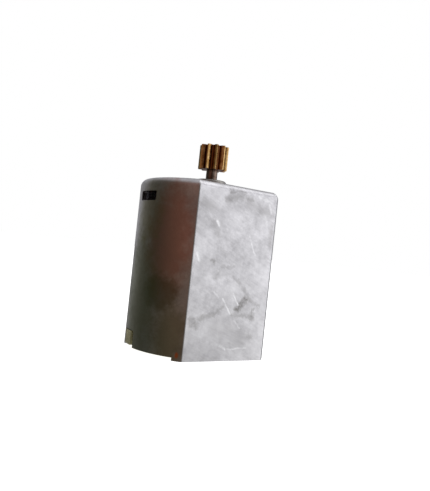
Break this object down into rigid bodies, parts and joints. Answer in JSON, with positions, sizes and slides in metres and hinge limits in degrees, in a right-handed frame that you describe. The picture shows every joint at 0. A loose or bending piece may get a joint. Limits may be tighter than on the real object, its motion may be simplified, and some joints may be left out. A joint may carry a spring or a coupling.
{
  "type": "flat-sided brushed dc motor",
  "caption": "Small brushed DC motor: a steel can with two flat and two round sides, a plastic end cap and a brass pinion on the shaft.",
  "frame": {"origin": "motor axis at the front face of the can, the face the motor is mounted by", "axes": "+Z along the shaft towards the pinion, +Y out of one flat side, +X out of one round side"},
  "size_m": [0.0242, 0.0184, 0.0362],
  "materials": {
    "can_steel": "matt plated",
    "cap_plastic": "moulded",
    "sintered_bronze": "sintered, oiled",
    "ferrite": "ground",
    "spring_steel": "drawn wire",
    "phosphor_bronze": "rolled",
    "carbon": "pressed graphite",
    "tinned_brass": "tinned",
    "shaft_steel": "ground",
    "pinion_brass": "hobbed",
    "washer_nylon": "moulded",
    "core_steel": "stamped laminations",
    "insulator_fibre": "fibre board",
    "enamelled_copper": "wound wire",
    "phenolic": "moulded",
    "copper": "turned"
  },
  "bodies": {
    "stator": {"can": "can_steel", "end_cap": "cap_plastic", "front_bearing": "sintered_bronze", "rear_bearing": "sintered_bronze", "magnet_left": "ferrite", "magnet_right": "ferrite", "magnet_spring_front": "spring_steel", "magnet_spring_back": "spring_steel", "brush_arm_positive": "phosphor_bronze", "brush_arm_negative": "phosphor_bronze", "carbon_brush_positive": "carbon", "carbon_brush_negative": "carbon", "terminal_positive": "tinned_brass", "terminal_negative": "tinned_brass"},
    "rotor": {"shaft": "shaft_steel", "pinion": "pinion_brass", "front_washer": "washer_nylon", "front_spacer": "washer_nylon", "rear_washer": "washer_nylon", "armature_core": "core_steel", "insulator_front": "insulator_fibre", "insulator_rear": "insulator_fibre", "winding_1": "enamelled_copper", "winding_2": "enamelled_copper", "winding_3": "enamelled_copper", "commutator_sleeve": "phenolic", "commutator_segment_1": "copper", "commutator_segment_2": "copper", "commutator_segment_3": "copper", "commutator_ring": "insulator_fibre"}
  },
  "joints": [
    {"name": "rotor_spin", "type": "hinge", "parent": "stator", "child": "rotor", "pos_m": [0, 0, 0], "axis": [0, 0, 1], "continuous": true}
  ]
}
